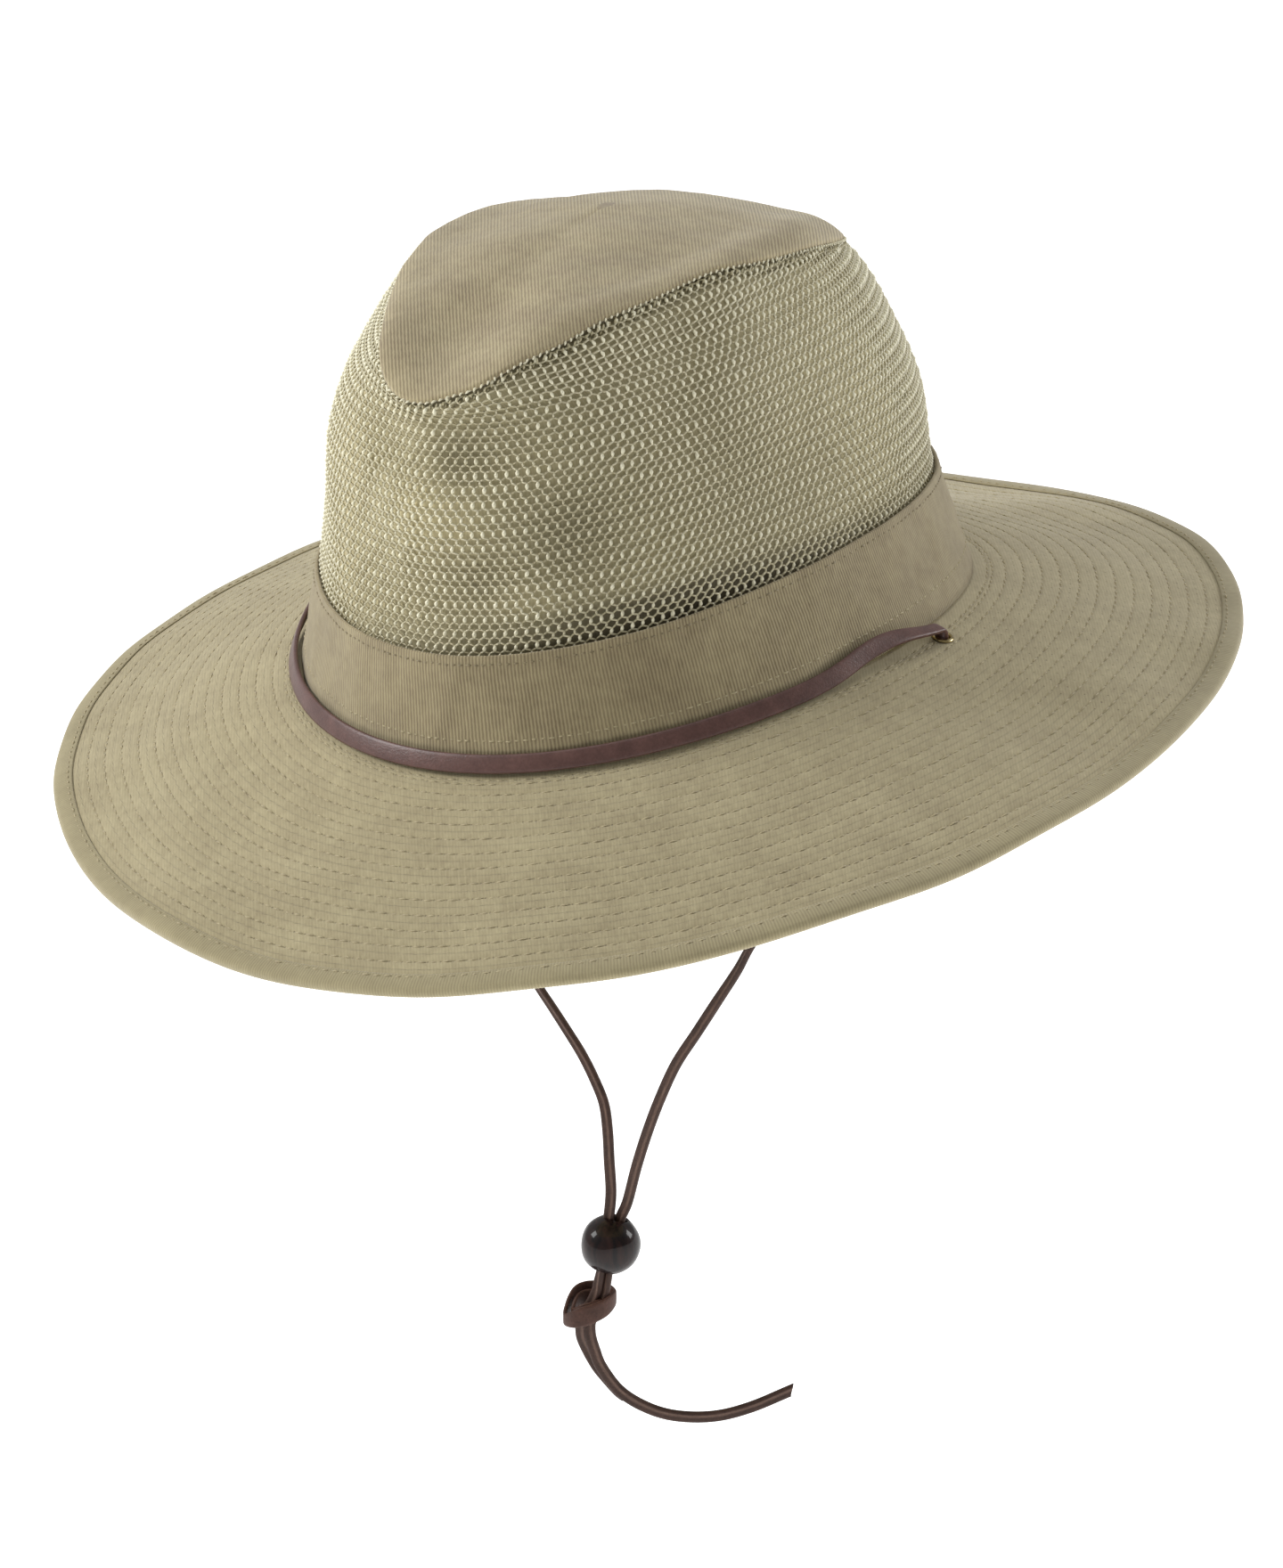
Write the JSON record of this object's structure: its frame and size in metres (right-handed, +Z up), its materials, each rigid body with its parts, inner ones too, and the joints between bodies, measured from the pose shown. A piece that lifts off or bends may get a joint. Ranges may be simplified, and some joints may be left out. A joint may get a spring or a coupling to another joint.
{
  "type": "safari hat",
  "caption": "Wide-brimmed cloth safari hat with a net crown, a creased twill tip, a leather lace round the crown and a hanging chin cord with a sliding bead.",
  "frame": {"origin": "middle of the head opening, level with the middle of the seam between crown and brim, where the hat sits on a head", "axes": "+Z up through the crown, +Y towards the back of the wearer's head, +X to the wearer's left"},
  "size_m": [0.316, 0.356, 0.3611],
  "materials": {
    "cotton_twill": "washed cotton twill, matt",
    "polyester_net": "open warp-knitted net of shiny yarn",
    "mesh_lining": "plain matt cloth close behind the net",
    "binding_tape": "ribbed tape, matt",
    "eyelet_brass": "polished, slightly worn",
    "lace_leather": "smooth waxed leather, dull sheen",
    "cord_leather": "folded leather lace, dull sheen",
    "lacquered_wood": "dark stained and lacquered, glossy"
  },
  "bodies": {
    "root": {"crown_tip": "cotton_twill", "crown_net": "polyester_net", "crown_lining": "mesh_lining", "side_band": "cotton_twill", "brim": "cotton_twill", "brim_binding": "binding_tape", "eyelet_left": "eyelet_brass", "eyelet_right": "eyelet_brass", "lace_band": "lace_leather", "chin_cord_left": "cord_leather", "chin_cord_right": "cord_leather", "bead": "lacquered_wood", "knot": "cord_leather", "tail_cord_left": "cord_leather", "tail_cord_right": "cord_leather"}
  },
  "joints": []
}
